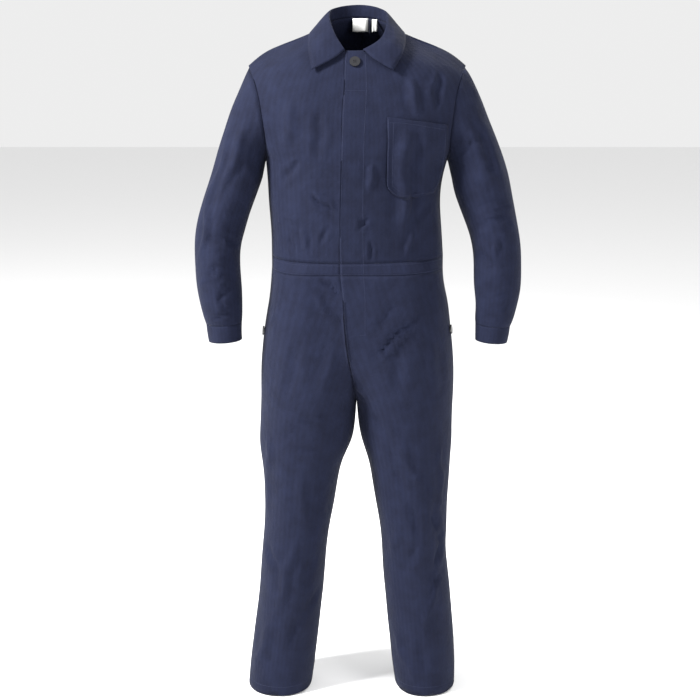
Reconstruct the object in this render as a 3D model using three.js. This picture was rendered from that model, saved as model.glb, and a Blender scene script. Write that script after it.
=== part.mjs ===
// Boiler suit, worn and hollow: navy herringbone cotton, one-piece pointed collar,
// lapped front with one neck button, chest patch pocket, waistband, straight legs,
// set-in sleeves with cuffs, and a button at each hip opening.
// Millimetres. +Z up, the front faces -Y, the wearer's left is +X.
// The origin is the neck centre, level with the shoulder beside the collar.
import * as THREE from "three";

// ---------------------------------------------------------------- driving sizes
const WALL = 1.4;             // cotton twill with its seam build-up, as one wall
const COLLAR_WALL = 2.0;      // two plies and an interlining
const BAND_WALL = 1.8;        // waistband and cuffs, doubled cloth
const GAP = 0.3;              // clearance at every seam
const LAID = 2.5;             // a laid-on piece stands this far off its panel
const NECK_BUTTON_D = 22;
const HIP_BUTTON_D = 20;
const BUTTON_T = 3.2;
const STAND_W = 50;           // underlap behind the front edge
const FLY_END_Z = -612;
const COLS_F = 10;            // columns, centre front to side
const COLS_B = 9;             // columns, centre back to side
const NECK_COL_F = 5;         // column where the neckline meets the shoulder seam
const NECK_COL_B = 4;

// ---------------------------------------------------------------- section tables
// Front edge of the lapping left front, down the body: z, x.
const EDGE_LINE = [
  [-28, -25], [-90, -27], [-171, -31], [-266, -34], [-375, -37], [-462, -35.5],
  [-488, -35], [-530, -30.5], [-596, -27], [-663, -19], [-700, -12.5], [-724, -8],
  [-755, -3], [-790, 0],
];
// Centre back seam: z, x.
const BACK_LINE = [[38, 13], [-60, 11], [-200, 6], [-462, 0], [-800, 0]];

// Front body rows, waist seam to collarbone. zc, yc: centre. xR, xL, ys, zs: side seam
// or armhole point. full: flatness at the centre. k2, a2, d2: length, plan angle and
// drop of the end tangent. l1: lift beside the centre.
const FRONT_ROWS = [
  // zc    yc    xR   xL   ys   zs    full  k2    a2  d2   l1
  [-462, -126, 183, 186,   4, -461, 0.62, 0.42, 90,  0,   0],
  [-400, -128, 183, 182,   4, -400, 0.62, 0.44, 90,  0,   0],
  [-345, -131, 189, 177,   4, -345, 0.62, 0.44, 90,  0,   0],
  [-300, -133, 190, 181,   4, -300, 0.62, 0.44, 90,  0,   0],
  [-262, -133, 193, 192,   4, -258, 0.60, 0.42, 90,  0,   0],
  [-228, -133, 190, 192, -50, -233, 0.58, 0.30, 72,  0,   0],
  [-188, -131, 192, 194, -74, -196, 0.55, 0.26, 52,  6,   0],
  [-150, -127, 198, 199, -77, -158, 0.52, 0.26, 42, 12,   3],
  [-108, -118, 204, 205, -68, -118, 0.46, 0.28, 38, 22,   8],
  [ -66, -101, 216, 217, -42,  -84, 0.34, 0.30, 36, 34,  16],
];
// Back body rows, the same columns.
const BACK_ROWS = [
  [-462,  106, 183, 186,   4, -461, 0.62, 0.42, 90,  0,   0],
  [-400,  108, 183, 182,   4, -400, 0.62, 0.44, 90,  0,   0],
  [-345,  113, 189, 177,   4, -345, 0.62, 0.44, 90,  0,   0],
  [-300,  118, 190, 181,   4, -300, 0.62, 0.44, 90,  0,   0],
  [-258,  122, 193, 192,   4, -258, 0.60, 0.42, 90,  0,   0],
  [-224,  125, 190, 192,  56, -233, 0.58, 0.30, 72,  0,   0],
  [-184,  126, 193, 195,  78, -196, 0.55, 0.26, 52,  6,   0],
  [-142,  123, 199, 201,  80, -158, 0.52, 0.26, 42, 12,   3],
  [ -92,  113, 206, 208,  70, -118, 0.46, 0.28, 38, 22,   8],
  [ -32,   93, 218, 219,  44,  -84, 0.36, 0.30, 36, 34,  14],
];
// Neckline, one row per column from the centre to the neck point: x, y, z.
const NECK_FRONT_R = [[-25, -80, -28], [-38, -74, -23], [-51, -62, -15], [-61, -44, -5], [-67, -22, 7], [-70, 3, 18]];
const NECK_FRONT_L = [[-25, -80, -28], [12, -81, -28.5], [38, -74, -23], [56, -54, -11], [66, -28, 4], [70, 3, 18]];
const NECK_BACK_R = [[13, 62, 38], [-12, 61, 38], [-39, 53, 35], [-60, 33, 28], [-70, 3, 18]];
const NECK_BACK_L = [[13, 62, 38], [31, 58, 37], [48, 47, 33], [62, 29, 27], [70, 3, 18]];
// Shoulder seam, neck point to armhole: x, y, z.
const SHOULDER = [[70, 3, 18], [101, 4, 4.5], [132, 5, -8], [176, 6, -24], [206, 6, -42], [228, 5, -61]];

// Trouser rows above the crotch. zo, xR, xL: side seam. zf, yf, pf: front inner end
// (height, depth) and front-most depth. tf: how far the row turns under (0 flat, 1 tube).
// zb, yb, pb, tb: the same for the back.
const HIP_ROWS = [
  // zo    xR     xL     zf    yf    pf    tf     zb    yb   pb   tb
  [-487, 183,   186,   -487, -127, -127, 0.00, -487, 107, 107, 0.00],
  [-522, 184,   188,   -522, -128, -128, 0.00, -524, 117, 117, 0.00],
  [-562, 189,   198,   -562, -129, -129, 0.00, -568, 128, 128, 0.00],
  [-606, 199.5, 203,   -608, -129, -129, 0.00, -614, 135, 136, 0.00],
  [-652, 205,   209,   -656, -126, -129, 0.05, -664, 136, 140, 0.05],
  [-700, 209.5, 213,   -706, -107, -129, 0.30, -718, 116, 139, 0.35],
  [-744, 210.5, 213.5, -754,  -62, -127, 0.68, -762,  68, 135, 0.72],
];
// Leg rows below the crotch: z, outer and inner x of the right and left leg, y of the
// inseam and side seam, front-most and back-most depth.
const LEG_ROWS = [
  // z      oR     iR     oL     iL    ys   pf    pb
  [ -788, 210.6,   0.0, 211.5,   0.0,   8, -124, 132],
  [ -838, 213.5,   3.2, 210.8,   3.6,   7, -117, 126],
  [ -876, 215.5,   9.0, 211.2,  12.0,   6, -113, 121],
  [ -910, 211.5,  28.0, 208.0,  24.0,   5, -109, 116],
  [ -945, 206.5,  39.0, 207.0,  32.5,   4, -106, 111],
  [-1015, 204.6,  49.0, 202.5,  42.5,   2, -102, 102],
  [-1086, 206.0,  63.0, 200.5,  56.0,   0,  -99,  94],
  [-1133, 213.5,  67.5, 201.0,  58.5,   0,  -95,  91],
  [-1192, 216.5,  73.0, 209.0,  60.5,   2,  -90,  93],
  [-1253, 221.5,  78.5, 214.8,  67.0,   5,  -85,  96],
  [-1325, 233.0,  85.8, 221.5,  74.3,   7,  -81,  97],
  [-1399, 242.5,  94.6, 225.5,  81.8,   8,  -79,  97],
  [-1450, 246.5, 101.8, 225.0,  88.8,   8,  -79,  96],
];
// Sleeve rings: inner x, z and outer x, z, then centre y and half depth.
const SLEEVE_R = [
  [195.5, -273, 254, -116,   3, 80], [198, -286, 274, -174,   1, 80],
  [201, -300, 295, -240,  -3, 77], [214, -335, 316, -306,  -8, 74],
  [229, -373, 329, -348, -12, 71], [240, -409, 340, -393, -16, 69],
  [249, -441, 348, -434, -20, 67], [249, -479, 348, -480, -25, 65],
  [246, -521, 347, -524, -31, 61], [245, -559, 337, -564, -37, 56],
  [245, -588, 328, -593, -41, 50], [246, -600, 324, -604, -42, 45],
];
const SLEEVE_L = [
  [195, -270, 256, -110,   3, 80], [197, -281, 276, -162,   1, 80],
  [201, -295, 299, -216,  -3, 78], [206, -327, 320, -283,  -8, 76],
  [219, -360, 333, -333, -12, 74], [236, -400, 344, -388, -16, 71],
  [246, -440, 352, -437, -20, 68], [249, -479, 353, -482, -25, 65],
  [249, -521, 352, -528, -31, 61], [256, -559, 345, -567, -37, 55],
  [253, -592, 335, -599, -41, 48], [254, -602, 330, -608, -42, 44],
];
const CUFF_R = [[246.2, -601, 323.8, -605, -42, 45], [247, -620, 322, -624, -43.5, 44], [246, -637, 319, -641, -45, 42]];
const CUFF_L = [[254.2, -603, 329.8, -609, -42, 44], [254, -620, 328, -626, -43.5, 43], [254, -638, 324, -643, -45, 41]];

// Collar, from the right front corner round the back to the left front corner.
// col: neckline column. r: roll line, m: middle of the fall, e: outer edge.
const COLLAR = [
  // col  rx    ry    rz     mx   my    mz     ex    ey    ez
  [ 0,  -25.5, -84, -25.5, -44, -99,  -42,  -92.5, -108, -65],
  [ 2,  -43,   -65,   1,   -70, -86,  -20,  -99,   -85,  -36],
  [ 5,  -58,     4,  47,   -79,   1,   31,  -99,     2,    9],
  [ 7,  -46,    42,  59,   -63,  53,   38,  -75,    63,   14],
  [ 9,    8,    66,  66,     8,  78,   42,    8,    87,   14],
  [11,   52,    42,  57,    69,  51,   36,   80,    59,   12],
  [13,   63,     4,  42,    82,   2,   26,  101,     2,    8],
  [15,   53,   -57,  -1,    76, -77,  -14,   96,   -76,  -30],
  [17,   12.5, -85, -25,    33, -101, -44,   73.5, -110, -66],
];

// Largest folds: a ridge (+) or trough (-) along a line on the front or back.
// side: -1 front, 1 back. x0, z0, x1, z1: ends. w: half width. d: height.
const FOLDS = [
  // side  x0    z0     x1    z1    w   d
  [-1,  108,  -190,  116,  -420, 24,  4.0],
  [-1,   84,  -200,   88,  -430, 20, -3.5],
  [-1,  118,   -75,  130,  -150, 20,  3.0],
  [-1,  -70,  -310,  -30,  -360, 18, -2.5],
  [-1, -140,  -420, -105,  -460, 18,  2.5],
  [-1,  150,  -560,   25,  -672, 20, -3.5],
  [-1,  170,  -600,   70,  -700, 22,  3.0],
  [-1,  -95,  -500,  -45,  -545, 18, -3.0],
  [-1,   35,  -810,  105,  -990, 20, -4.0],
  [-1,   75,  -830,  190, -1040, 22,  4.0],
  [-1,  168, -1040,  192, -1130, 22, -6.0],
  [-1,  185, -1190,  150, -1330, 22,  3.0],
  [-1, -165,  -870,  -60,  -862, 18, -2.5],
  [-1, -140, -1110, -180, -1320, 24,  3.5],
  [-1,  -80, -1230, -150, -1370, 22, -4.5],
  [-1,  100, -1350,  150, -1445, 20,  3.0],
  [ 1, -120,  -300, -150,  -450, 26,  4.0],
  [ 1,  120,  -280,  140,  -450, 26, -3.5],
  [ 1,  -70,  -740,  -40,  -660, 24,  4.0],
  [ 1,   70,  -740,   45,  -650, 24,  4.0],
  [ 1, -170, -1050,  -90, -1100, 22, -5.0],
  [ 1,  170, -1060,   90, -1110, 22, -5.0],
];
// Sleeve folds: ring station t0, t1 (0 armhole, 12 cuff), ring angle a0, a1 in degrees
// (0 underarm, 90 front, 180 outer, 270 back), half width, height.
const SLEEVE_FOLDS_R = [
  [5.6, 7.4, 60, 130, 16, -4.0], [6.9, 6.3, 60, 175, 16, 3.0], [8.2, 8.9, 40, 160, 15, -3.5],
  [2.0, 6.0, 150, 172, 18, 2.5], [1.0, 3.5, 60, 80, 20, -3.5], [9.6, 9.2, 30, 140, 13, 3.0],
];
const SLEEVE_FOLDS_L = [
  [4.3, 3.8, 40, 172, 17, 5.5], [5.0, 4.7, 30, 150, 14, -4.5], [5.6, 7.0, 110, 60, 16, 3.5],
  [7.0, 7.4, 20, 100, 18, -4.0], [8.4, 9.2, 50, 165, 14, 3.0], [9.6, 9.7, 40, 160, 13, -3.0],
];

// ---------------------------------------------------------------- small maths
const add = (a, b) => [a[0] + b[0], a[1] + b[1], a[2] + b[2]];
const sub = (a, b) => [a[0] - b[0], a[1] - b[1], a[2] - b[2]];
const mul = (a, k) => [a[0] * k, a[1] * k, a[2] * k];
const dot = (a, b) => a[0] * b[0] + a[1] * b[1] + a[2] * b[2];
const cross = (a, b) => [a[1] * b[2] - a[2] * b[1], a[2] * b[0] - a[0] * b[2], a[0] * b[1] - a[1] * b[0]];
const len = (a) => Math.hypot(a[0], a[1], a[2]);
const unit = (a) => { const l = len(a) || 1; return [a[0] / l, a[1] / l, a[2] / l]; };
const mix = (a, b, t) => [a[0] + (b[0] - a[0]) * t, a[1] + (b[1] - a[1]) * t, a[2] + (b[2] - a[2]) * t];
const clamp = (v, lo, hi) => Math.min(hi, Math.max(lo, v));

function onTable(table, key) {            // linear look-up, first column falling
  if (key >= table[0][0]) return table[0][1];
  for (let i = 1; i < table.length; i++) {
    if (key >= table[i][0]) {
      const t = (key - table[i - 1][0]) / (table[i][0] - table[i - 1][0]);
      return table[i - 1][1] + (table[i][1] - table[i - 1][1]) * t;
    }
  }
  return table[table.length - 1][1];
}
function bezier(p0, p1, p2, p3, t) {
  const s = 1 - t;
  return [0, 1, 2].map((i) => s * s * s * p0[i] + 3 * s * s * t * p1[i] + 3 * s * t * t * p2[i] + t * t * t * p3[i]);
}
function evenly(points, n) {              // n + 1 points, equal steps along a line
  const at = [0];
  for (let i = 1; i < points.length; i++) at.push(at[i - 1] + len(sub(points[i], points[i - 1])));
  const out = [];
  let k = 1;
  for (let i = 0; i <= n; i++) {
    const want = (at[at.length - 1] * i) / n;
    while (k < points.length - 1 && at[k] < want) k++;
    out.push(mix(points[k - 1], points[k], clamp((want - at[k - 1]) / (at[k] - at[k - 1] || 1), 0, 1)));
  }
  return out;
}
function through(points, knots, t) {      // cubic through points at uneven knots
  const n = points.length;
  let k = 0;
  while (k < n - 2 && t > knots[k + 1]) k++;
  const h = knots[k + 1] - knots[k];
  const slope = (j) => {
    const before = j > 0 ? mul(sub(points[j], points[j - 1]), 1 / (knots[j] - knots[j - 1])) : null;
    const after = j < n - 1 ? mul(sub(points[j + 1], points[j]), 1 / (knots[j + 1] - knots[j])) : null;
    if (!before) return after;
    if (!after) return before;
    const a = knots[j + 1] - knots[j];
    const b = knots[j] - knots[j - 1];
    return mul(add(mul(before, a), mul(after, b)), 1 / (a + b));
  };
  const s = (t - knots[k]) / h;
  const m0 = mul(slope(k), h);
  const m1 = mul(slope(k + 1), h);
  const p0 = points[k];
  const p1 = points[k + 1];
  return [0, 1, 2].map((i) => (2 * s * s * s - 3 * s * s + 1) * p0[i] + (s * s * s - 2 * s * s + s) * m0[i]
    + (-2 * s * s * s + 3 * s * s) * p1[i] + (s * s * s - s * s) * m1[i]);
}
function smoothLine(points, n) {          // n + 1 points on a curve through a short table
  const knots = points.map((_, i) => i);
  const dense = [];
  for (let i = 0; i <= 60; i++) dense.push(through(points, knots, ((points.length - 1) * i) / 60));
  return evenly(dense, n);
}
function loft(rows, steps, knots) {       // rows of points to a grid, steps[k] between rows
  const grid = [];
  for (let k = 0; k < rows.length - 1; k++) {
    for (let j = 0; j < steps[k]; j++) {
      const t = knots[k] + ((knots[k + 1] - knots[k]) * j) / steps[k];
      grid.push(rows[k].map((_, i) => through(rows.map((r) => r[i]), knots, t)));
    }
  }
  grid.push(rows[rows.length - 1].map((p) => p.slice()));
  return grid;
}

// ---------------------------------------------------------------- body and leg rows
function bodyRow(row, s, cols, line, face) {
  const [zc, yc, xR, xL, ys, zs, full, k2, a2, d2, l1] = row;
  const xs = s < 0 ? xR : xL;
  const c = [onTable(line, zc), yc, zc];
  const e = [s * xs, ys, zs];
  const w = Math.abs(e[0] - c[0]);
  const a = (a2 * Math.PI) / 180;
  const reach = k2 * xs;
  const p1 = add(c, [s * full * w, 0, l1]);
  const p2 = add(e, [-s * reach * Math.cos(a), face * reach * Math.sin(a), d2]);
  const dense = [];
  for (let i = 0; i <= 60; i++) dense.push(bezier(c, p1, p2, e, i / 60));
  return evenly(dense, cols);
}
function topRow(neck, s, neckCol, cols) {
  const shoulder = smoothLine(SHOULDER.map(([x, y, z]) => [s * x, y, z]), cols - neckCol);
  return neck.map((p) => p.slice()).concat(shoulder.slice(1));
}
function legRow(inner, front, outer, s, turn, cols) {
  // inner point, front- or back-most depth (with its x), outer point
  const face = Math.sign(front[1]);
  const t = (turn * Math.PI) / 2;
  const w1 = Math.abs(front[0] - inner[0]);
  const w2 = Math.abs(outer[0] - front[0]);
  const d1 = Math.abs(front[1] - inner[1]);
  const d2 = Math.abs(front[1] - outer[1]);
  const l0 = 0.4 * w1 * (1 - turn) + 0.6 * d1 * turn;
  const dense = [];
  const a1 = add(inner, [s * Math.cos(t) * l0, face * Math.sin(t) * l0, 0]);
  const a2 = add(front, [-s * 0.58 * w1, 0, 0]);
  const b1 = add(front, [s * 0.6 * w2, 0, 0]);
  const b2 = add(outer, [0, face * 0.58 * d2, 0]);
  for (let i = 0; i <= 40; i++) dense.push(bezier(inner, a1, a2, front, i / 40));
  for (let i = 1; i <= 40; i++) dense.push(bezier(front, b1, b2, outer, i / 40));
  return evenly(dense, cols);
}
function legRows(s, face, cols) {
  const rows = [];
  for (const [zo, xR, xL, zf, yf, pf, tf, zb, yb, pb, tb] of HIP_ROWS) {
    const xo = s * (s < 0 ? xR : xL);
    const [zi, yi, p, turn] = face < 0 ? [zf, yf, pf, tf] : [zb, yb, pb, tb];
    const xi = onTable(face < 0 ? EDGE_LINE : BACK_LINE, zi);
    const xm = xi + (xo - xi) * 0.44;
    rows.push(legRow([xi, yi, zi], [xm, p, zi + (zo - zi) * 0.45], [xo, 5, zo], s, turn, cols));
  }
  for (const [z, oR, iR, oL, iL, ys, pf, pb] of LEG_ROWS) {
    const xo = s * (s < 0 ? oR : oL);
    const xi = s * (s < 0 ? iR : iL);
    const xm = xi + (xo - xi) * 0.48;
    rows.push(legRow([xi, ys, z], [xm, face < 0 ? pf : pb, z], [xo, ys, z], s, 1, cols));
  }
  return rows;
}
const BODY_STEPS = [1, 1, 1, 1, 2, 1, 2, 1, 1, 2];           // 4 to the underarm, 9 above it
const UNDERARM_ROW = 4;
// every panel of the body, and every one of the legs, shares its knots, so seams agree
const BODY_KNOTS = FRONT_ROWS.map((r) => r[5]).concat([-50]);
const LEG_KNOTS = HIP_ROWS.map((r) => -r[0]).concat(LEG_ROWS.map((r) => -r[0]));
const LEG_STEPS = [1, 1, 1, 1, 1, 1, 1, 1, 1, 1, 1, 1, 1, 1, 1, 1, 1, 1, 1];

// ---------------------------------------------------------------- panels
// A panel is a grid of points: grid[j][i]; ring panels close in i.
const panels = new Map();
function panel(name, grid, wall, facing, ring = false) {
  panels.set(name, { name, grid, wall, facing, ring });
  return grid;
}
function gridNormals(p) {
  const { grid, ring } = p;
  const rows = grid.length;
  const cols = grid[0].length;
  const at = (j, i) => grid[j][ring ? (i + cols) % cols : clamp(i, 0, cols - 1)];
  const normals = [];
  for (let j = 0; j < rows; j++) {
    normals.push([]);
    for (let i = 0; i < cols; i++) {
      const du = sub(at(j, i + 1), at(j, i - 1));
      const dv = sub(grid[Math.min(rows - 1, j + 1)][i], grid[Math.max(0, j - 1)][i]);
      normals[j].push(unit(cross(du, dv)));
    }
  }
  const jm = rows >> 1;
  const im = cols >> 1;
  let sign;
  if (ring) {
    const mid = grid[jm].reduce((a, q) => add(a, mul(q, 1 / cols)), [0, 0, 0]);
    sign = dot(normals[jm][0], sub(grid[jm][0], mid)) < 0 ? -1 : 1;
  } else sign = dot(normals[jm][im], p.facing) < 0 ? -1 : 1;
  p.sign = sign;
  p.normals = normals.map((r) => r.map((n) => mul(n, sign)));
}

// right front = wearer's right (-X)
const SIDES = [["right", -1], ["left", 1]];
for (const [word, s] of SIDES) {
  const fRows = FRONT_ROWS.map((r) => bodyRow(r, s, COLS_F, EDGE_LINE, -1));
  fRows.push(topRow(s < 0 ? NECK_FRONT_R : NECK_FRONT_L, s, NECK_COL_F, COLS_F));
  const bRows = BACK_ROWS.map((r) => bodyRow(r, s, COLS_B, BACK_LINE, 1));
  bRows.push(topRow(s < 0 ? NECK_BACK_R : NECK_BACK_L, s, NECK_COL_B, COLS_B));
  const front = panel(`front_${word}`, loft(fRows, BODY_STEPS, BODY_KNOTS), WALL, [0, -1, 0]);
  const back = panel(`back_${word}`, loft(bRows, BODY_STEPS, BODY_KNOTS), WALL, [0, 1, 0]);
  for (let j = 0; j < front.length; j++) {          // the side seam and armhole are one line
    if (j <= UNDERARM_ROW) back[j][COLS_B] = front[j][COLS_F].slice();
  }
  const legF = panel(`leg_front_${word}`, loft(legRows(s, -1, COLS_F), LEG_STEPS, LEG_KNOTS), WALL, [0, -1, 0]);
  const legB = panel(`leg_back_${word}`, loft(legRows(s, 1, COLS_B), LEG_STEPS, LEG_KNOTS), WALL, [0, 1, 0]);
  // waistband pieces run between the body's lowest row and the trousers' top row
  panel(`waistband_front_${word}`, [legF[0].map((p) => p.slice()), front[0].map((p) => p.slice())], BAND_WALL, [0, -1, 0]);
  // sleeve: armhole loop, then rings down to the cuff
  const loop = [];
  const n = front.length - 1;
  for (let j = UNDERARM_ROW; j <= n; j++) loop.push(front[j][COLS_F].slice());
  for (let j = n - 1; j > UNDERARM_ROW; j--) loop.push(back[j][COLS_B].slice());
  const count = loop.length;
  const ring = ([xi, zi, xo, zo, yc, hd]) => {
    const out = [];
    for (let i = 0; i < count; i++) {
      const a = (2 * Math.PI * i) / count;
      const k = (1 - Math.cos(a)) / 2;
      out.push([s * (xi + (xo - xi) * k), yc - hd * Math.sin(a), zi + (zo - zi) * k]);
    }
    return out;
  };
  const rings = [loop].concat((s < 0 ? SLEEVE_R : SLEEVE_L).map(ring));
  const cuff = (s < 0 ? CUFF_R : CUFF_L).map(ring);
  cuff[0] = rings[rings.length - 1].map((p) => p.slice());
  panel(`sleeve_${word}`, loft(rings, rings.slice(1).map(() => 1), rings.map((_, i) => i)), WALL, null, true);
  panel(`cuff_${word}`, cuff, BAND_WALL, null, true);
}
{
  // one waistband piece across the back
  const bottom = [];
  const top = [];
  for (const [word, order] of [["right", -1], ["left", 1]]) {
    const low = panels.get(`leg_back_${word}`).grid[0];
    const high = panels.get(`back_${word}`).grid[0];
    const ids = [...low.keys()];
    if (order < 0) ids.reverse();
    for (const i of order < 0 ? ids : ids.slice(1)) {
      bottom.push(low[i].slice());
      top.push(high[i].slice());
    }
  }
  panel("waistband_back", [bottom, top], BAND_WALL, [0, 1, 0]);
}

// ---------------------------------------------------------------- collar
function collarStations() {
  const neck = NECK_FRONT_R.concat(NECK_BACK_R.slice(0, -1).reverse(), NECK_BACK_L.slice(1), NECK_FRONT_L.slice(1, -1).reverse());
  const cols = COLLAR.map((r) => r[0]);
  const line = (k, i) => through(COLLAR.map((r) => [r[k], r[k + 1], r[k + 2]]), cols, i);
  const rows = [[], [], [], [], [], [], []];
  for (let i = 0; i < neck.length; i++) {
    const n = neck[i];
    const roll = line(1, i);
    const mid = line(4, i);
    const edge = line(7, i);
    const away = unit([mid[0] - roll[0], mid[1] - roll[1], 0]);
    const high = clamp(len(sub(roll, n)) / 28, 0, 1);
    rows[0].push(n);
    rows[1].push(add(mix(n, roll, 0.6), mul(away, -1.2 * high)));
    rows[2].push(add(mix(n, roll, 0.96), mul(away, -0.8 * high)));
    rows[3].push(add(mix(roll, mid, 0.1), [0, 0, 1.6 * high]));
    rows[4].push(add(mix(roll, mid, 0.34), mul(away, 2.2 * high)));
    rows[5].push(mid);
    rows[6].push(edge);
  }
  return rows;
}
panel("collar", collarStations(), COLLAR_WALL, [0, 0, 1]);

// ---------------------------------------------------------------- seams
for (const p of panels.values()) gridNormals(p);
const key = (q) => q.map((v) => Math.round(v * 20)).join();
const meets = new Map();
for (const p of panels.values()) {
  const rows = p.grid.length;
  const cols = p.grid[0].length;
  p.inward = p.grid.map((r) => r.map(() => null));
  for (let j = 0; j < rows; j++) {
    for (let i = 0; i < cols; i++) {
      const jEdge = j === 0 || j === rows - 1;
      const iEdge = !p.ring && (i === 0 || i === cols - 1);
      if (!jEdge && !iEdge) continue;
      let d = [0, 0, 0];
      if (jEdge) d = add(d, unit(sub(p.grid[j === 0 ? 1 : rows - 2][i], p.grid[j][i])));
      if (iEdge) d = add(d, unit(sub(p.grid[j][i === 0 ? 1 : cols - 2], p.grid[j][i])));
      p.inward[j][i] = d;
      const k = key(p.grid[j][i]);
      if (!meets.has(k)) meets.set(k, []);
      meets.get(k).push({ p, j, i, n: p.normals[j][i], d });
    }
  }
}
for (const p of panels.values()) {
  p.pull = p.grid.map((r) => r.map(() => [0, 0, 0]));
  p.thick = p.grid.map((r) => r.map(() => p.wall));
}
for (const group of meets.values()) {
  const others = group.filter((g) => g.p.name !== "collar");
  for (const g of group) {
    const rest = group.filter((o) => o !== g);
    if (!rest.length) continue;
    let away = g.d;
    for (const o of rest) away = sub(away, mul(o.d, 1 / rest.length));
    g.away = mul(unit(away), GAP / 2 + 0.01);
  }
  const sum = others.reduce((a, g) => add(a, g.n), [0, 0, 0]);
  if (others.length > 1 && len(sum) > 0.2) {
    const n = unit(sum);
    const c = Math.max(0.45, others.reduce((a, g) => a + dot(g.n, n), 0) / others.length);
    for (const g of others) {
      g.p.normals[g.j][g.i] = n;
      g.p.thick[g.j][g.i] = Math.min(g.p.wall / c, WALL * 1.6);
    }
  }
  for (const g of group) if (g.away) g.p.pull[g.j][g.i] = g.away;
}

// ---------------------------------------------------------------- folds
function foldHeight(q, n) {
  let h = 0;
  for (const [side, x0, z0, x1, z1, w, d] of FOLDS) {
    const facing = clamp(n[1] * side * 1.6, 0, 1);
    if (!facing) continue;
    const vx = x1 - x0;
    const vz = z1 - z0;
    const t = ((q[0] - x0) * vx + (q[2] - z0) * vz) / (vx * vx + vz * vz);
    const c = clamp(t, 0, 1);
    const dist = Math.hypot(q[0] - x0 - vx * c, q[2] - z0 - vz * c);
    const fade = Math.sin(Math.PI * clamp(t, 0.06, 0.94));
    h += d * facing * fade * Math.exp(-((dist / w) ** 2));
  }
  return h;
}
const noFold = /^(waistband|collar|cuff|sleeve)/;
for (const p of panels.values()) {
  const cols = p.grid[0].length;
  p.shape = p.grid.map((r, j) => r.map((q, i) => {
    let h = 0;
    if (!noFold.test(p.name)) {
      const topEdge = p.name.startsWith("leg") ? 0 : -1;
      const waist = p.name.startsWith("leg") ? j === topEdge : j === 0;
      const top = !p.name.startsWith("leg") && j === p.grid.length - 1;
      if (!waist && !top) h = foldHeight(q, p.normals[j][i]);
    }
    if (p.name.startsWith("sleeve") && j > 0 && j < p.grid.length - 1) {
      const table = p.name.endsWith("right") ? SLEEVE_FOLDS_R : SLEEVE_FOLDS_L;
      const a = (360 * i) / cols;
      for (const [t0, t1, a0, a1, w, d] of table) {
        const vt = (t1 - t0) * 34;
        const va = (a1 - a0) * 1.05;
        const f = ((j - t0) * 34 * vt + (a - a0) * 1.05 * va) / (vt * vt + va * va);
        const c = clamp(f, 0, 1);
        const dist = Math.hypot((j - t0) * 34 - vt * c, (a - a0) * 1.05 - va * c);
        h += d * Math.exp(-((dist / w) ** 2));
      }
    }
    return add(add(q, mul(p.normals[j][i], h)), p.pull[j][i]);
  }));
}

// ---------------------------------------------------------------- solids
function shell(outer, inner, ring, sign) {
  const rows = outer.length;
  const cols = outer[0].length;
  const position = [];
  const index = [];
  for (const g of [outer, inner]) for (const r of g) for (const q of r) position.push(...q);
  const id = (k, j, i) => k * rows * cols + j * cols + (ring ? i % cols : i);
  const quad = (a, b, c, d, turn) => {
    // split along the shorter diagonal
    const P = (n) => position.slice(3 * n, 3 * n + 3);
    const short = len(sub(P(a), P(c))) <= len(sub(P(b), P(d)));
    const tris = short ? [[a, b, c], [a, c, d]] : [[a, b, d], [b, c, d]];
    for (const t of tris) index.push(...(turn > 0 ? t : [t[0], t[2], t[1]]));
  };
  const spans = ring ? cols : cols - 1;
  for (let j = 0; j < rows - 1; j++) {
    for (let i = 0; i < spans; i++) {
      quad(id(0, j, i), id(0, j, i + 1), id(0, j + 1, i + 1), id(0, j + 1, i), sign);
      quad(id(1, j, i), id(1, j, i + 1), id(1, j + 1, i + 1), id(1, j + 1, i), -sign);
    }
  }
  for (let i = 0; i < spans; i++) {
    quad(id(0, 0, i), id(0, 0, i + 1), id(1, 0, i + 1), id(1, 0, i), -sign);
    quad(id(0, rows - 1, i), id(0, rows - 1, i + 1), id(1, rows - 1, i + 1), id(1, rows - 1, i), sign);
  }
  if (!ring) {
    for (let j = 0; j < rows - 1; j++) {
      quad(id(0, j, 0), id(0, j + 1, 0), id(1, j + 1, 0), id(1, j, 0), sign);
      quad(id(0, j, cols - 1), id(0, j + 1, cols - 1), id(1, j + 1, cols - 1), id(1, j, cols - 1), -sign);
    }
  }
  const geometry = new THREE.BufferGeometry();
  geometry.setAttribute("position", new THREE.Float32BufferAttribute(position.map((v) => Math.round(v * 1e4) / 1e4), 3));
  geometry.setIndex(index);
  return geometry;
}
const group = new THREE.Group();
group.name = "boiler_suit";
const COLOURS = { cloth: 0x2b3558, band: 0x28314f, black: 0x0b0c10, white: 0xe8e8e6, tape: 0x14182a };
function solid(name, geometry, colour) {
  geometry.computeVertexNormals();
  const mesh = new THREE.Mesh(geometry, new THREE.MeshStandardMaterial({ color: COLOURS[colour] }));
  mesh.name = name;
  group.add(mesh);
}
for (const p of panels.values()) {
  const inner = p.shape.map((r, j) => r.map((q, i) => sub(q, mul(p.normals[j][i], p.thick[j][i]))));
  p.inner = inner;
  solid(p.name, shell(p.shape, inner, p.ring, p.sign), "cloth");
}

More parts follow.
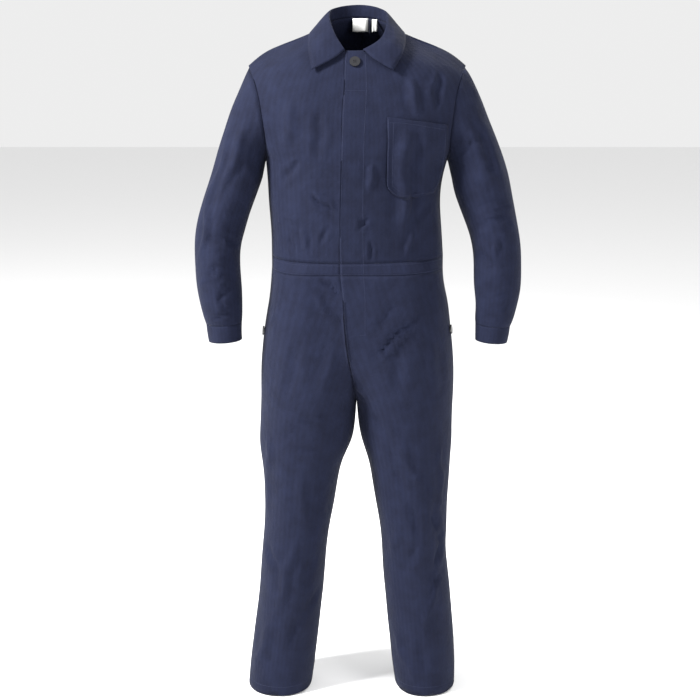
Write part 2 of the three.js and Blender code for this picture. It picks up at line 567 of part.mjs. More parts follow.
// ---------------------------------------------------------------- laid-on pieces
// A point on a finished panel, at a fraction of its columns and rows.
function onPanel(name, u, v) {
  const g = panels.get(name).shape;
  const rows = g.length - 1;
  const cols = g[0].length - 1;
  const j = clamp(Math.floor(v * rows), 0, rows - 1);
  const i = clamp(Math.floor(u * cols), 0, cols - 1);
  const fj = v * rows - j;
  const fi = u * cols - i;
  return mix(mix(g[j][i], g[j][i + 1], fi), mix(g[j + 1][i], g[j + 1][i + 1], fi), fj);
}
function find(name, x, z) {               // the panel fraction at a height and width
  let u = 0.5;
  let v = 0.5;
  for (let k = 0; k < 40; k++) {
    const q = onPanel(name, u, v);
    const qu = onPanel(name, u + 1e-3, v);
    const qv = onPanel(name, u, v + 1e-3);
    const a = (qu[0] - q[0]) / 1e-3;
    const b = (qv[0] - q[0]) / 1e-3;
    const c = (qu[2] - q[2]) / 1e-3;
    const d = (qv[2] - q[2]) / 1e-3;
    const det = a * d - b * c || 1e-9;
    const ex = x - q[0];
    const ez = z - q[2];
    u = clamp(u + (0.8 * (d * ex - b * ez)) / det, 0, 0.998);
    v = clamp(v + (0.8 * (a * ez - c * ex)) / det, 0, 0.998);
  }
  return [u, v];
}
function normalAt(name, u, v) {
  const e = 0.02;
  const p = panels.get(name);
  const du = sub(onPanel(name, Math.min(0.999, u + e), v), onPanel(name, Math.max(0, u - e), v));
  const dv = sub(onPanel(name, u, Math.min(0.999, v + e)), onPanel(name, u, Math.max(0, v - e)));
  return mul(unit(cross(du, dv)), p.sign);
}
function laid(spots, off, wall, sign) {   // spots: grid of [panel, x, z]
  const low = spots.map((r) => r.map(([name, x, z]) => {
    const [u, v] = find(name, x, z);
    return add(onPanel(name, u, v), mul(normalAt(name, u, v), off));
  }));
  const high = spots.map((r, j) => r.map(([name, x, z], i) => {
    const [u, v] = find(name, x, z);
    return add(low[j][i], mul(normalAt(name, u, v), wall));
  }));
  return shell(high, low, false, sign);
}

// chest pocket: rows from the bottom up, z at the inner and outer ends, x at both ends
const POCKET = [
  // x0   z0     x1    z1
  [  83, -325,  160, -322],
  [  61, -305,  173, -303],
  [  62, -275,  180, -277],
  [  62, -240,  184, -245],
  [  62, -205,  186, -213],
  [  61, -172,  186, -186],
  [  61, -160,  186, -178],
];
{
  const edges = [];
  for (let k = 0; k < POCKET.length - 1; k++) {
    for (const f of k ? [0, 0.5] : [0]) edges.push(POCKET[k].map((q, i) => q + (POCKET[k + 1][i] - q) * f));
  }
  edges.push(POCKET[POCKET.length - 1]);
  const spots = edges.map(([x0, z0, x1, z1]) => {
    const r = [];
    for (let i = 0; i <= 11; i++) {
      const t = i / 11;
      r.push(["front_left", x0 + (x1 - x0) * t, z0 + (z1 - z0) * t]);
    }
    return r;
  });
  solid("chest_pocket", laid(spots, LAID, WALL, 1), "cloth");
}

// underlap behind the lapping front, neck to the end of the fly
{
  const outer = [];
  const inner = [];
  const strip = (name, v) => {
    const g = panels.get(name).inner;
    const rows = g.length - 1;
    const j = clamp(Math.floor(v * rows), 0, rows - 1);
    const f = v * rows - j;
    const line = g[j].map((q, i) => mix(q, g[j + 1][i], f));
    const x0 = line[0][0] + 0.6;
    const at = (x) => {
      let i = 0;
      while (i < line.length - 2 && line[i + 1][0] < x) i++;
      return mix(line[i], line[i + 1], (x - line[i][0]) / (line[i + 1][0] - line[i][0]));
    };
    outer.push([0, 1, 2].map((i) => add(at(x0 + (STAND_W * i) / 2), [0, 0.9, 0])));
    inner.push([0, 1, 2].map((i) => add(at(x0 + (STAND_W * i) / 2), [0, 0.9 + WALL, 0])));
  };
  const body = panels.get("front_left").grid.length - 1;
  const leg = panels.get("leg_front_left").grid.length - 1;
  for (let j = body - 1; j >= 0; j--) strip("front_left", j / body);
  for (let j = 0; j <= 3; j++) strip("leg_front_left", j / leg);
  for (let k = 0; k < 3; k++) {           // clear of the thicker waistband
    for (const j of [body - 1, body]) {
      outer[j][k][1] += 0.8;
      inner[j][k][1] += 0.8;
    }
  }
  solid("button_stand", shell(outer, inner, false, -1), "cloth");
}

// four-hole buttons
function button(name, centre, normal, diameter) {
  const disc = new THREE.Shape();
  const round = (path, x, y, r, n, turn) => {
    for (let i = 0; i < n; i++) {
      const a = (turn * 2 * Math.PI * i) / n;
      if (i === 0) path.moveTo(x + r * Math.cos(a), y + r * Math.sin(a));
      else path.lineTo(x + r * Math.cos(a), y + r * Math.sin(a));
    }
    path.closePath();
  };
  round(disc, 0, 0, diameter / 2, 24, 1);
  for (const [x, y] of [[1, 1], [-1, 1], [-1, -1], [1, -1]]) {
    const hole = new THREE.Path();
    round(hole, x * 1.9, y * 1.9, 1.1, 8, -1);
    disc.holes.push(hole);
  }
  const geometry = new THREE.ExtrudeGeometry(disc, { depth: BUTTON_T, bevelEnabled: false, curveSegments: 1 });
  const turn = new THREE.Matrix4().makeRotationFromQuaternion(
    new THREE.Quaternion().setFromUnitVectors(new THREE.Vector3(0, 0, 1), new THREE.Vector3(...normal)));
  geometry.applyMatrix4(turn);
  geometry.translate(...centre);
  solid(name, geometry, "black");
}
{
  const [u, v] = find("front_left", -4.5, -51);
  const n = normalAt("front_left", u, v);
  button("neck_button", add(onPanel("front_left", u, v), mul(n, 0.9)), n, NECK_BUTTON_D);
}
for (const [word, s] of SIDES) {
  const name = `leg_front_${word}`;
  const v = s < 0 ? 0.178 : 0.174;
  const u = 0.9;
  const n = normalAt(name, u, v);
  button(`hip_button_${word}`, add(onPanel(name, u, v), mul(n, 0.9)), n, HIP_BUTTON_D);
}

// neck labels and the hanging loop, sewn at the back neck seam and hanging inside
function hung(name, x0, x1, zTop, zLow, y0, y1, wall, colour, twist = 0) {
  const outer = [];
  const inner = [];
  for (let j = 0; j <= 4; j++) {
    const t = j / 4;
    const y = y0 + (y1 - y0) * t - 1.6 * Math.sin(Math.PI * t);
    const a = twist * t;
    const cx = (x0 + x1) / 2;
    const h = (x1 - x0) / 2;
    const z = zTop + (zLow - zTop) * t;
    const lineO = [];
    const lineI = [];
    for (let i = 0; i <= 2; i++) {
      const f = i - 1;
      const bow = 1.2 * f * f;
      lineO.push([cx + f * h * Math.cos(a), y - bow + f * h * Math.sin(a), z]);
      lineI.push([cx + f * h * Math.cos(a) + wall * Math.sin(a), y - bow + f * h * Math.sin(a) - wall * Math.cos(a), z]);
    }
    outer.push(lineO);
    inner.push(lineI);
  }
  solid(name, shell(inner, outer, false, -1), colour);
}
hung("label_main", -9, 24, 36, 8, 55.5, 60, 0.8, "white");
hung("label_size", 32, 43, 34, 8, 49, 54, 0.8, "white");
hung("hanger_loop", 25.6, 30.6, 35, 4, 53.5, 58, 1.2, "tape", 0.9);

export default group;
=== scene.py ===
# Looks of the boiler suit: fine thin shells on the solids' form, with creases, herringbone cloth, stitching, buttons
# and blank labels.
import math
import bmesh
import bpy
import numpy as np
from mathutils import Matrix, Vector


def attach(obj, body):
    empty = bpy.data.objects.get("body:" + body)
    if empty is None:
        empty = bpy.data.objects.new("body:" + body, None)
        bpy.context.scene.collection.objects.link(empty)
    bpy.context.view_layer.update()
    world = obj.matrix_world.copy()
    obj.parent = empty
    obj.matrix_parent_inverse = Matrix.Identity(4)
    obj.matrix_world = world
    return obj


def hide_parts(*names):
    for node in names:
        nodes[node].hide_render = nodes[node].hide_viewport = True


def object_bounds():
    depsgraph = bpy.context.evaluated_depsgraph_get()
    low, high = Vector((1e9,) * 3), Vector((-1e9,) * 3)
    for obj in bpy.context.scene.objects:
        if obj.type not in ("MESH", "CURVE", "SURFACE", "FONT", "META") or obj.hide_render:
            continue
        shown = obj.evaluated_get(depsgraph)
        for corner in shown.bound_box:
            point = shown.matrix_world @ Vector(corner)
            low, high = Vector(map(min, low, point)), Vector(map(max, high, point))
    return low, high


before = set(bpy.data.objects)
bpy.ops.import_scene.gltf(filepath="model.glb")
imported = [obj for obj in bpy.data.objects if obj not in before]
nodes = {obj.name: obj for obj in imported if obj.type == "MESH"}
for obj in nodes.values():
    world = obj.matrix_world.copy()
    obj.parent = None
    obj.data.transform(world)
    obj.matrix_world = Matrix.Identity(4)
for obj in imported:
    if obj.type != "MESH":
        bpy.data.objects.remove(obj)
cad_lo, cad_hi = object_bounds()
cad_lo, cad_hi = list(cad_lo), list(cad_hi)
scene = bpy.context.scene

# Creases, listed in millimetres: side (-1 front, 1 back), x0, z0, x1, z1, half width, height.
BODY_CREASES = [
    (-1, -101, -319, -46, -356, 5, -2.2),
    (-1, -95, -311, -39, -348, 5, 1.6),
    (-1, -145, -412, -125, -440, 5, -2),
    (-1, -114, -385, -104, -437, 6, 2),
    (-1, 27, -416, 30, -454, 4, -2.2),
    (-1, 30, -454, 29, -490, 4, -2),
    (-1, 29, -490, 23, -517, 4, -1.6),
    (-1, -2, -362, 27, -392, 5, -1.6),
    (-1, 27, -362, -2, -392, 5, -1.6),
    (-1, 32, -253, 26, -309, 7, 2),
    (-1, 116, -396, 104, -448, 6, 2.2),
    (-1, 107, -82, 124, -156, 10, 2.6),
    (-1, 171, -72, 162, -146, 8, -2.4),
    (-1, 124, -176, 114, -402, 12, -3.4),
    (-1, 97, -176, 97, -402, 14, 3),
    (-1, -139, -469, -115, -507, 5, -2),
    (-1, -77, -494, -33, -528, 5, -2.6),
    (-1, -94, -522, -54, -575, 6, 2.4),
    (-1, -44, -570, -31, -590, 4, -1.8),
    (-1, 142, -564, 21, -667, 5, -2.8),
    (-1, 132, -585, 32, -671, 5, 2.4),
    (-1, 90, -539, 32, -602, 6, -1.6),
    (-1, 39, -774, 161, -769, 3, -1.4),
    (-1, 45, -787, 157, -782, 3, 1.3),
    (-1, 54, -800, 152, -796, 3, -1.4),
    (-1, 32, -787, 67, -849, 6, -2.6),
    (-1, 67, -849, 80, -907, 6, -2.6),
    (-1, 80, -907, 107, -975, 7, -2.8),
    (-1, 107, -975, 138, -1075, 8, -2.8),
    (-1, 58, -800, 88, -840, 6, 2.4),
    (-1, 88, -840, 119, -921, 7, 2.6),
    (-1, 119, -921, 146, -952, 7, 2.6),
    (-1, 146, -952, 190, -1011, 7, 2.4),
    (-1, 164, -1011, 177, -1066, 6, -4.5),
    (-1, 177, -1066, 186, -1094, 6, -4.2),
    (-1, 186, -1094, 172, -1145, 6, -3.6),
    (-1, 179, -1175, 145, -1304, 6, 2.4),
    (-1, 156, -1156, 196, -1196, 5, -2),
    (-1, 196, -1156, 161, -1196, 5, -2),
    (-1, 179, -849, 185, -993, 5, 2),
    (-1, -4, -723, 22, -760, 5, 2.2),
    (-1, 138, -1075, 95, -1156, 8, -2),
    (-1, 94, -1030, 77, -1122, 9, 2),
    (-1, -169, -778, -152, -787, 4, -1.6),
    (-1, -130, -809, -62, -787, 4, -1.8),
    (-1, -163, -845, -109, -800, 5, -2),
    (-1, -135, -867, -79, -865, 4, -1.6),
    (-1, -187, -849, -196, -939, 6, 2),
    (-1, -196, -939, -197, -1030, 6, 1.8),
    (-1, -80, -1030, -54, -1011, 5, -2.4),
    (-1, -202, -1098, -172, -1154, 6, -3),
    (-1, -132, -1075, -178, -1252, 9, 2.6),
    (-1, -178, -1252, -233, -1404, 9, 2.6),
    (-1, -81, -1205, -112, -1252, 6, -3),
    (-1, -112, -1252, -134, -1276, 6, -3),
    (-1, -134, -1276, -152, -1332, 7, -2.6),
    (-1, -233, -1399, -193, -1402, 4, -1.4),
    (-1, 83, -1309, 133, -1418, 7, 2.4),
    (-1, 128, -1404, 208, -1361, 7, 2),
    (-1, -120, -624, -152, -754, 12, -1.8),
    (-1, -46, -635, -78, -743, 10, 1.6),
    (-1, 80, -635, 91, -743, 12, -1.8),
    (-1, 154, -624, 168, -743, 10, 1.8),
    (-1, -123, -916, -115, -1030, 10, 1.8),
    (-1, -91, -1122, -124, -1191, 8, -1.8),
    (-1, -136, -126, -145, -227, 12, 1.6),
    (-1, -76, -146, -80, -247, 10, -1.4),
    (-1, -117, -247, -158, -298, 7, -1.8),
    (-1, 150, -340, 120, -381, 7, -1.8),
    (-1, -149, -360, -118, -381, 5, 1.4),
    (-1, -56, -381, -81, -423, 5, -1.4),
    (-1, 140, -1309, 150, -1392, 9, -2),
    # hidden back, of the same kinds
    (1, -60, -150, -110, -330, 12, 2.4), (1, 60, -140, 95, -320, 12, 2.2), (1, -150, -330, -70, -440, 7, -2.4),
    (1, 150, -320, 80, -430, 7, -2.4), (1, -40, -400, -60, -455, 6, 2), (1, 45, -395, 60, -455, 6, 2),
    (1, -150, -620, -40, -745, 7, -3), (1, 150, -610, 45, -740, 7, -2.8), (1, -120, -600, -30, -700, 7, 2.4),
    (1, -160, -1060, -80, -1085, 6, -3.2), (1, 165, -1065, 90, -1095, 6, -3.2), (1, -190, -1100, -100, -1120, 6, 2.8),
    (1, 185, -1110, 100, -1130, 6, 2.6), (1, -120, -1200, -170, -1390, 9, 2.4), (1, 120, -1210, 160, -1400, 9, 2.4),
    (1, -110, -850, -130, -1000, 11, -2), (1, 120, -850, 125, -1010, 11, 2), (1, -90, -60, -150, -110, 8, -2),
]
SLEEVE_CREASES = [
    (-1, -270, -199, -339, -472, 6, 2.6),
    (-1, -221, -217, -203, -315, 8, -3),
    (-1, -274, -412, -247, -444, 6, -3),
    (-1, -317, -451, -275, -464, 5, 2.4),
    (-1, -342, -502, -263, -506, 5, -3),
    (-1, -316, -481, -261, -509, 5, 2.6),
    (-1, -261, -515, -300, -548, 5, -2.6),
    (-1, -300, -548, -285, -567, 5, 2),
    (-1, -309, -586, -262, -571, 4, -2),
    (-1, -322, -468, -286, -489, 4, -2),
    (-1, 224, -58, 254, -125, 8, 2.2),
    (-1, 209, -244, 239, -215, 6, -2.6),
    (-1, 272, -278, 288, -244, 6, -2.4),
    (-1, 208, -224, 283, -197, 4, -1.6),
    (-1, 246, -360, 332, -349, 6, 4.2),
    (-1, 242, -398, 276, -376, 5, -3.4),
    (-1, 276, -376, 332, -368, 5, -3.6),
    (-1, 333, -385, 296, -412, 5, 2.8),
    (-1, 296, -412, 286, -451, 5, 2.6),
    (-1, 256, -446, 291, -481, 9, -4),
    (-1, 264, -513, 320, -545, 5, -2.4),
    (-1, 258, -541, 290, -554, 4, 1.8),
    (-1, 275, -567, 339, -571, 4, -2),
    (-1, 259, -586, 308, -586, 3, -1.4),
    (-1, 237, -294, 283, -315, 6, -2),
    (-1, 261, -496, 330, -517, 5, 2),
    (-1, -262, -402, -330, -388, 5, 3), (-1, -258, -420, -325, -412, 5, -3), (-1, -225, -170, -290, -330, 9, 2.4),
    (-1, 232, -150, 300, -300, 9, -2.4), (-1, 240, -560, 330, -575, 5, 2.2),
    (1, -225, -180, -300, -230, 7, -2.4), (1, 225, -180, 300, -230, 7, -2.4), (1, -250, -400, -345, -420, 6, -3),
    (1, 250, -395, 350, -415, 6, -3), (1, -245, -440, -340, -452, 6, 2.6), (1, 250, -438, 350, -450, 6, 2.6),
    (1, -255, -520, -340, -540, 5, -2.2), (1, 258, -520, 345, -545, 5, -2.2), (1, -250, -580, -320, -570, 4, 1.8),
]


def gathers(table, co, no, seed):
    x, z = co[:, 0] * 1000, co[:, 2] * 1000
    h = np.zeros(len(co))
    for k, (side, x0, z0, x1, z1, w, d) in enumerate(table):
        vx, vz = x1 - x0, z1 - z0
        ln2 = vx * vx + vz * vz
        t = ((x - x0) * vx + (z - z0) * vz) / ln2
        c = np.clip(t, 0, 1)
        ln = math.sqrt(ln2)
        # the line wavers a little, and its width swells in the middle
        wob = 0.06 * ln * np.sin(3.1 * c * math.pi + k) * c * (1 - c) * 2
        px, pz = x0 + vx * c - vz / ln * wob, z0 + vz * c + vx / ln * wob
        dist = np.hypot(x - px, z - pz)
        wide = 0.85 * w * (0.7 + 0.5 * np.sin(math.pi * c))
        fade = np.clip(np.sin(math.pi * np.clip(t, 0.02, 0.98)) * 1.5, 0, 1)
        facing = np.clip(no[:, 1] * side * 1.8, 0, 1)
        g = np.exp(-(dist / wide) ** 2)
        lip = 0.35 * np.exp(-((dist - 1.9 * wide) / (0.9 * wide)) ** 2)
        h += 2.0 * d * facing * fade * (g - lip)
    # small uneven swell of worn cloth
    rng = np.random.default_rng(seed)
    y = co[:, 1] * 1000
    for _ in range(22):
        a = rng.uniform(-1, 1, 3)
        a /= np.linalg.norm(a)
        wl = rng.uniform(28, 120)
        h += 0.010 * wl * 0.45 * np.sin((a[0] * x + a[1] * y + a[2] * z * 0.5) * 2 * math.pi / wl + rng.uniform(0, 6.28)) / 2.2
    return h / 1000


def smooth_copy(node, level, table=None, seed=1):
    """A fine thin shell on a solid's form, creased by a table."""
    src = nodes[node]
    bm = bmesh.new()
    bm.from_mesh(src.data)
    bmesh.ops.remove_doubles(bm, verts=bm.verts, dist=2e-5)
    bmesh.ops.join_triangles(bm, faces=bm.faces, angle_face_threshold=0.7, angle_shape_threshold=3.1)
    bm.normal_update()
    crease = bm.edges.layers.float.get("crease_edge") or bm.edges.layers.float.new("crease_edge")
    for e in bm.edges:
        if len(e.link_faces) == 2 and e.calc_face_angle(0) > 1.0:
            e[crease] = 1.0
    me = bpy.data.meshes.new("vis_" + node)
    bm.to_mesh(me)
    bm.free()
    ob = bpy.data.objects.new("vis_" + node, me)
    scene.collection.objects.link(ob)
    mod = ob.modifiers.new("fine", "SUBSURF")
    mod.levels = mod.render_levels = level
    mod.boundary_smooth = "ALL"
    dg = bpy.context.evaluated_depsgraph_get()
    fine = bpy.data.meshes.new_from_object(ob.evaluated_get(dg))
    ob.modifiers.clear()
    ob.data = fine
    n = len(fine.vertices)
    co = np.empty(n * 3)
    no = np.empty(n * 3)
    fine.vertices.foreach_get("co", co)
    fine.vertices.foreach_get("normal", no)
    co, no = co.reshape(-1, 3), no.reshape(-1, 3)
    if table is not None:
        # walls move together: the inner face follows the outer one
        out = no.copy()
        c = centre(node, co)
        rad = co - c
        rad[:, 2] = 0
        flip = np.sum(out * rad, axis=1) < 0
        out[flip] *= -1
        h = gathers(table, co, out, seed)
        edge = seam_fade(node, co)
        co = co + out * (h * edge)[:, None]
    if node in ("back_left", "back_right"):
        # the two backs close up along their seam
        line = np.interp(-co[:, 2], [-0.038, 0.06, 0.2, 0.462], [0.013, 0.011, 0.006, 0.0])
        near = np.clip(1 - np.abs(co[:, 0] - line) / 0.004, 0, 1)
        co = co.copy()
        co[:, 0] += (-0.00022 if node == "back_left" else 0.00022) * near
    fine.vertices.foreach_set("co", co.ravel())
    fine.update()
    for p in fine.polygons:
        p.use_smooth = True
    grain(ob, node, co)
    return ob


def centre(node, co):
    """The middle of the limb or body at each height."""
    z = co[:, 2]
    c = np.zeros_like(co)
    c[:, 2] = z
    side = -1 if node.endswith("right") else 1
    if node.startswith("leg"):
        zz = [-1.45, -1.25, -1.09, -0.95, -0.80, -0.60, -0.48]
        xr = [0.174, 0.150, 0.134, 0.123, 0.105, 0.04, 0.0]
        xl = [0.157, 0.141, 0.128, 0.120, 0.105, 0.04, 0.0]
        c[:, 0] = side * np.interp(z, zz, xr if side < 0 else xl)
        c[:, 1] = 0.006
    elif node.startswith(("sleeve", "cuff")):
        zz = [-0.64, -0.56, -0.48, -0.39, -0.33, -0.26, -0.18, -0.06]
        xx = [0.284, 0.291, 0.298, 0.290, 0.268, 0.248, 0.228, 0.20]
        yy = [-0.045, -0.037, -0.025, -0.013, -0.008, -0.003, 0.0, 0.0]
        c[:, 0] = side * np.interp(z, zz, xx)
        c[:, 1] = np.interp(z, zz, yy)
    return c


def seam_fade(node, co):
    """Creases die away at the waist seam and the neck, and on the sleeves near the cuff seam and next to the body."""
    z = co[:, 2]
    f = np.clip(np.abs(z + 0.462) / 0.012, 0, 1) * np.clip(np.abs(z + 0.488) / 0.012, 0, 1)
    if node.startswith(("sleeve", "cuff")):
        f = np.clip(np.abs(z + 0.602) / 0.02, 0.15, 1)
        f = f * np.clip((np.abs(co[:, 0]) - 0.205) / 0.03, 0, 1)
    elif not node.startswith("leg"):
        f = f * np.clip((0.17 - np.hypot(co[:, 0] * 0.9, co[:, 2] - 0.06)) / -0.05, 0, 1) if False else f
        f = f * np.clip((np.hypot(co[:, 0], co[:, 2] - 0.02) - 0.10) / 0.03, 0, 1)
    return f


def grain(ob, node, co):
    """The cloth's own coordinates: round the limb, and down it, in metres."""
    c = centre(node, co)
    r = 0.15 if not node.startswith(("leg", "sleeve", "cuff")) else (0.09 if node.startswith("leg") else 0.058)
    u = np.arctan2(co[:, 0] - c[:, 0], -(co[:, 1] - c[:, 1])) * r
    if node in ("collar", "chest_pocket", "button_stand"):
        u = co[:, 0]
    uv = np.zeros((len(co), 3))
    uv[:, 0] = u
    uv[:, 1] = co[:, 2]
    at = ob.data.attributes.new("grain", "FLOAT_VECTOR", "POINT")
    at.data.foreach_set("vector", uv.ravel())


# ------------------------------------------------------------------ materials
def principled(name, colour, rough, sheen=0.0, spec=0.5, coat=0.0):
    m = bpy.data.materials.new(name)
    m.use_nodes = True
    b = m.node_tree.nodes["Principled BSDF"]
    b.inputs["Base Color"].default_value = (*colour, 1)
    b.inputs["Roughness"].default_value = rough
    b.inputs["Specular IOR Level"].default_value = spec
    b.inputs["Sheen Weight"].default_value = sheen
    b.inputs["Sheen Roughness"].default_value = 0.45
    b.inputs["Sheen Tint"].default_value = (0.45, 0.5, 0.75, 1)
    b.inputs["Coat Weight"].default_value = coat
    return m, b


def cloth_material():
    m, b = principled("navy_herringbone", (0.020, 0.0265, 0.075), 0.88, sheen=0.02, spec=0.16)
    nt = m.node_tree
    new = nt.nodes.new

    def math_node(op, a, bb=None, clampit=False):
        n = new("ShaderNodeMath")
        n.operation = op
        n.use_clamp = clampit
        for i, v in enumerate((a, bb)):
            if v is None:
                continue
            if isinstance(v, (int, float)):
                n.inputs[i].default_value = v
            else:
                nt.links.new(v, n.inputs[i])
        return n.outputs[0]

    at = new("ShaderNodeAttribute")
    at.attribute_name = "grain"
    sep = new("ShaderNodeSeparateXYZ")
    nt.links.new(at.outputs["Vector"], sep.inputs[0])
    u, v = sep.outputs[0], sep.outputs[1]
    band = math_node("PINGPONG", math_node("DIVIDE", u, 0.0052), 1.0)
    twill = math_node("ADD", math_node("MULTIPLY", band, 3.2), math_node("DIVIDE", v, 0.0021))
    ridge = math_node("SINE", math_node("MULTIPLY", twill, 6.2832))
    stripe = math_node("SINE", math_node("MULTIPLY", math_node("DIVIDE", u, 0.0052), 3.14159))
    noise = new("ShaderNodeTexNoise")
    noise.inputs["Scale"].default_value = 34
    noise.inputs["Detail"].default_value = 5
    geo = new("ShaderNodeTexCoord")
    nt.links.new(geo.outputs["Object"], noise.inputs["Vector"])
    mixv = math_node("ADD", math_node("MULTIPLY", ridge, 0.07), math_node("MULTIPLY", stripe, 0.035))
    mixv = math_node("ADD", mixv, math_node("MULTIPLY", noise.outputs[0], 0.55))
    ramp = new("ShaderNodeValToRGB")
    ramp.color_ramp.elements[0].position = 0.05
    ramp.color_ramp.elements[0].color = (0.0030, 0.0042, 0.0135, 1)
    ramp.color_ramp.elements[1].position = 0.55
    ramp.color_ramp.elements[1].color = (0.0082, 0.0112, 0.0300, 1)
    nt.links.new(mixv, ramp.inputs[0])
    nt.links.new(ramp.outputs[0], b.inputs["Base Color"])
    fine = new("ShaderNodeTexNoise")
    fine.inputs["Scale"].default_value = 90
    fine.inputs["Detail"].default_value = 6
    nt.links.new(geo.outputs["Object"], fine.inputs["Vector"])
    high = math_node("ADD", math_node("MULTIPLY", ridge, 0.00010), math_node("MULTIPLY", fine.outputs[0], 0.0016))
    high = math_node("ADD", high, math_node("MULTIPLY", noise.outputs[0], 0.0030))
    bump = new("ShaderNodeBump")
    bump.inputs["Strength"].default_value = 0.7
    bump.inputs["Distance"].default_value = 1.0
    nt.links.new(high, bump.inputs["Height"])
    nt.links.new(bump.outputs[0], b.inputs["Normal"])
    return m


CLOTH = cloth_material()
THREAD = principled("navy_thread", (0.016, 0.020, 0.048), 0.7, spec=0.3)[0]
BUTTON = principled("black_button", (0.006, 0.006, 0.008), 0.22, spec=0.6, coat=0.4)[0]
LABEL = principled("white_label", (0.78, 0.78, 0.76), 0.75, spec=0.2)[0]
TAPE = principled("dark_tape", (0.012, 0.014, 0.026), 0.8, spec=0.2)[0]


def dress(ob, mat, slot, *cad):
    ob.data.materials.clear()
    ob.data.materials.append(mat)
    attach(ob, "root")
    if cad:
        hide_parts(*cad)
    return ob


# Flat cut of each cloth piece: width, length in metres, and area where it isn't a rectangle.
CUT = {
    "front_right": (0.26, 0.5, 0.1038),
    "front_left": (0.3, 0.5, 0.1292),
    "back_right": (0.27, 0.51, 0.1209),
    "back_left": (0.26, 0.51, 0.1142),
    "leg_front_right": (0.27, 0.98, 0.262),
    "leg_front_left": (0.28, 0.98, 0.2717),
    "leg_back_right": (0.29, 1, 0.2752),
    "leg_back_left": (0.28, 1, 0.2761),
    "sleeve_right": (0.45, 0.56, 0.1754),
    "sleeve_left": (0.46, 0.56, 0.1827),
    "cuff_right": (0.26, 0.04, 0.00972),
    "cuff_left": (0.26, 0.04, 0.00914),
    "waistband_front_right": (0.19, 0.026, 0.00489),
    "waistband_front_left": (0.26, 0.026, 0.00669),
    "waistband_back": (0.43, 0.026, 0.01107),
    "collar": (0.46, 0.1, 0.0394),
    "button_stand": (0.05, 0.6, 0.0294),
    "chest_pocket": (0.145, 0.165, 0.0231),
}
LEVEL = {"collar": 2, "button_stand": 1, "chest_pocket": 1}
pieces = {}
for i, node in enumerate(sorted(CUT)):
    table = None
    if node.startswith(("front", "back", "leg")) or node == "chest_pocket":
        table = BODY_CREASES
    elif node.startswith("sleeve"):
        table = SLEEVE_CREASES
    level = LEVEL.get(node, 3 if node.startswith("front") else 2)
    ob = smooth_copy(node, level, table, seed=7)
    pieces[node] = dress(ob, CLOTH, "cloth", node)

# ------------------------------------------------------------------ stitching
from mathutils.bvhtree import BVHTree


def tree(*names):
    verts, polys = [], []
    for n in names:
        me = pieces[n].data
        base = len(verts)
        verts += [v.co.copy() for v in me.vertices]
        polys += [[base + k for k in p.vertices] for p in me.polygons]
    return BVHTree.FromPolygons(verts, polys)


FRONT = tree("front_right", "front_left", "waistband_front_right", "waistband_front_left", "leg_front_right", "leg_front_left", "chest_pocket")
BACK = tree("back_right", "back_left", "waistband_back", "leg_back_right", "leg_back_left")


def on_cloth(x, z, side=-1):
    bvh = FRONT if side < 0 else BACK
    hit = bvh.ray_cast(Vector((x / 1000, side * 0.6, z / 1000)), Vector((0, -side, 0)))
    return hit[0], hit[1]


def stitches(name, runs, slot_mat=THREAD, side=-1, dash=2.6, gap=1.1, r=0.32):
    """Rows of thread along lines of (x, z) in mm laid on the cloth."""
    verts, faces = [], []
    for run in runs:
        pts = []
        for (x0, z0), (x1, z1) in zip(run, run[1:]):
            n = max(1, int(math.hypot(x1 - x0, z1 - z0) / (dash + gap)))
            pts += [((x0 + (x1 - x0) * k / n, z0 + (z1 - z0) * k / n), ((x1 - x0) / n, (z1 - z0) / n)) for k in range(n)]
        for (x, z), (dx, dz) in pts:
            f = dash / (dash + gap)
            a, na = on_cloth(x, z, side)
            b, nb = on_cloth(x + dx * f, z + dz * f, side)
            if a is None or b is None or (a - b).length > 0.012:
                continue
            if na.y * side < 0:
                na = -na
            t = (b - a).normalized()
            w = t.cross(na).normalized() * r / 1000
            up = na * 0.00045
            base = len(verts)
            verts += [a - w, a + w, a + up, b - w, b + w, b + up]
            faces += [(base, base + 3, base + 5, base + 2), (base + 1, base + 2, base + 5, base + 4), (base, base + 2, base + 1), (base + 3, base + 4, base + 5)]
    me = bpy.data.meshes.new(name)
    me.from_pydata([tuple(v) for v in verts], [], faces)
    ob = bpy.data.objects.new(name, me)
    scene.collection.objects.link(ob)
    return dress(ob, slot_mat, "cloth")


EDGE = [(-25, -32), (-27, -90), (-31, -171), (-34, -266), (-37, -375), (-35.5, -462), (-35, -488), (-30.5, -530), (-27, -596), (-19, -663), (-12.5, -700), (-8, -724)]
shift = lambda line, d: [(x + d, z) for x, z in line]
PLACKET = [(17, -36), (19, -106), (14, -200), (12, -300), (12, -400), (13, -458), (14, -492), (16.6, -530), (17, -612)]
front_stitch = stitches("stitch_front", [shift(EDGE, 3.2), PLACKET, [(17, -612), (5, -612)], [(-25, -107), (17, -107)],
    [(-181, -466), (-100, -466), (0, -466), (100, -466), (184, -466)],
    [(-181, -484), (-100, -484), (0, -484), (100, -484), (184, -484)]])
pocket_stitch = stitches("stitch_pocket", [
    [(64, -164), (63.5, -240), (63, -305), (84, -322), (158, -319), (170, -303), (178, -277), (182, -240), (183, -190)],
    [(74, -172), (73, -240), (72.5, -300), (88, -313)],
    [(63, -171), (90, -172), (120, -176), (182, -188)]])
hem_stitch = stitches("stitch_hem", [[(-240, -1430), (-110, -1430)], [(94, -1430), (220, -1430)]])
back_stitch = stitches("stitch_back", [[(4, -70), (2, -200), (0, -458)], [(-181, -466), (0, -466), (184, -466)], [(-181, -484), (0, -484), (184, -484)], [(3, -492), (3, -700)], [(-3, -492), (-3, -700)]], side=1)

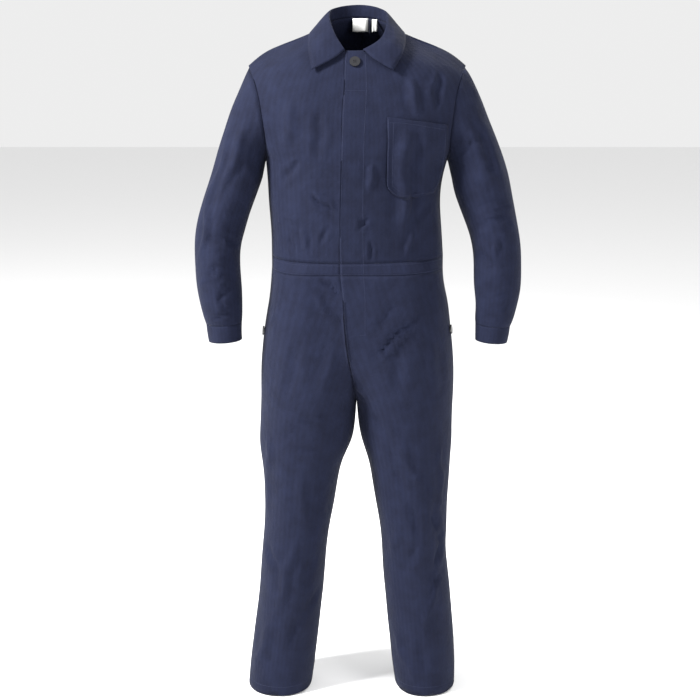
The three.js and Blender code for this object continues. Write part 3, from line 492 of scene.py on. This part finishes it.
# ------------------------------------------------------------------ small parts
for node in ("neck_button", "hip_button_right", "hip_button_left"):
    src = nodes[node]
    bm = bmesh.new()
    bm.from_mesh(src.data)
    bmesh.ops.remove_doubles(bm, verts=bm.verts, dist=2e-5)
    bmesh.ops.dissolve_limit(bm, angle_limit=0.02, verts=bm.verts, edges=bm.edges)
    me = bpy.data.meshes.new("vis_" + node)
    bm.to_mesh(me)
    bm.free()
    ob = bpy.data.objects.new("vis_" + node, me)
    scene.collection.objects.link(ob)
    bev = ob.modifiers.new("round", "BEVEL")
    bev.width, bev.segments, bev.limit_method = 0.0007, 3, "ANGLE"
    dress(ob, BUTTON, "button", node)
for node, mat, slot in (("label_main", LABEL, "label"), ("label_size", LABEL, "label"), ("hanger_loop", TAPE, "tape")):
    ob = smooth_copy(node, 1)
    pieces[node] = dress(ob, mat, slot, node)

for node, (w, l, area) in CUT.items():
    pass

# ------------------------------------------------------------------ studio
bpy.ops.mesh.primitive_plane_add(size=30, location=(0, 0, -1.4535))
floor = bpy.context.object
fm, fb = principled("pale_floor", (0.86, 0.86, 0.86), 0.9, spec=0.1)
floor.data.materials.append(fm)
world = bpy.data.worlds.new("studio")
scene.world = world
world.use_nodes = True
world.node_tree.nodes["Background"].inputs[0].default_value = (1, 1, 1, 1)
world.node_tree.nodes["Background"].inputs[1].default_value = 0.85


def area(name, loc, target, size, power):
    light = bpy.data.lights.new(name, "AREA")
    light.shape, light.size, light.energy = "SQUARE", size, power
    ob = bpy.data.objects.new(name, light)
    ob.location = loc
    ob.rotation_mode = "QUATERNION"
    ob.rotation_quaternion = (Vector(target) - Vector(loc)).to_track_quat("-Z", "Y")
    scene.collection.objects.link(ob)


area("key", (-3.0, -1.5, 1.9), (0, 0, -0.6), 0.9, 560)
area("fill", (2.6, -2.4, 0.6), (0, 0, -0.7), 1.6, 90)
area("rim", (1.5, 2.4, 1.5), (0, 0, -0.5), 1.5, 60)

cam_data = bpy.data.cameras.new("camera")
cam_data.lens, cam_data.sensor_width = 77.07, 36
cam = bpy.data.objects.new("camera", cam_data)
cam.location = (-0.0146, -3.2, 0.03)
cam.rotation_euler = (math.radians(90 - 12.37), 0, 0)
scene.collection.objects.link(cam)
scene.camera = cam
scene.render.resolution_x = scene.render.resolution_y = 700
scene.view_settings.view_transform = "Standard"
